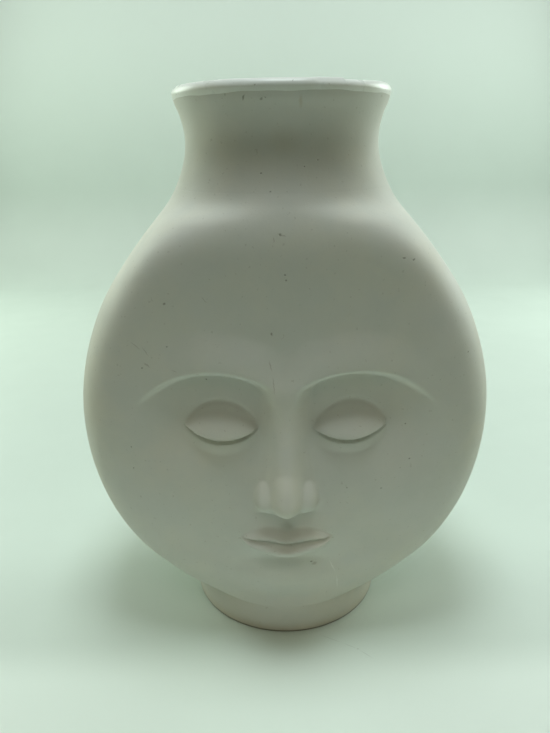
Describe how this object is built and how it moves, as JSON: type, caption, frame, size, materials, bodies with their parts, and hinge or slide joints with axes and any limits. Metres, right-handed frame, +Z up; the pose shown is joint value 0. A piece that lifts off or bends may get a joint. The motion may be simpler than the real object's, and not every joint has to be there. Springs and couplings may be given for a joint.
{
  "type": "vase",
  "caption": "Flattened round ceramic vase with a flared neck, a gloss rim, a round foot and a calm face in relief on its front, for cut or dried flowers",
  "frame": {"origin": "on the table plane, under the middle of the whole vase's box", "axes": "+Z up through the mouth; the face looks along -Y; +X to the right as seen from the front"},
  "size_m": [0.2016, 0.1322, 0.26],
  "materials": {
    "bisque": "matte fired clay, slightly rough",
    "slip": "matte fired slip, rubbed smooth",
    "glaze": "glossy white glaze"
  },
  "bodies": {
    "root": {"front_half": "bisque", "back_half": "bisque", "seam_slip_left": "slip", "seam_slip_right": "slip", "neck_collar": "bisque", "neck_joint_slip": "slip", "foot_ring": "bisque", "foot_joint_slip": "slip", "base_disc": "bisque", "glaze_lining": "glaze"}
  },
  "joints": []
}
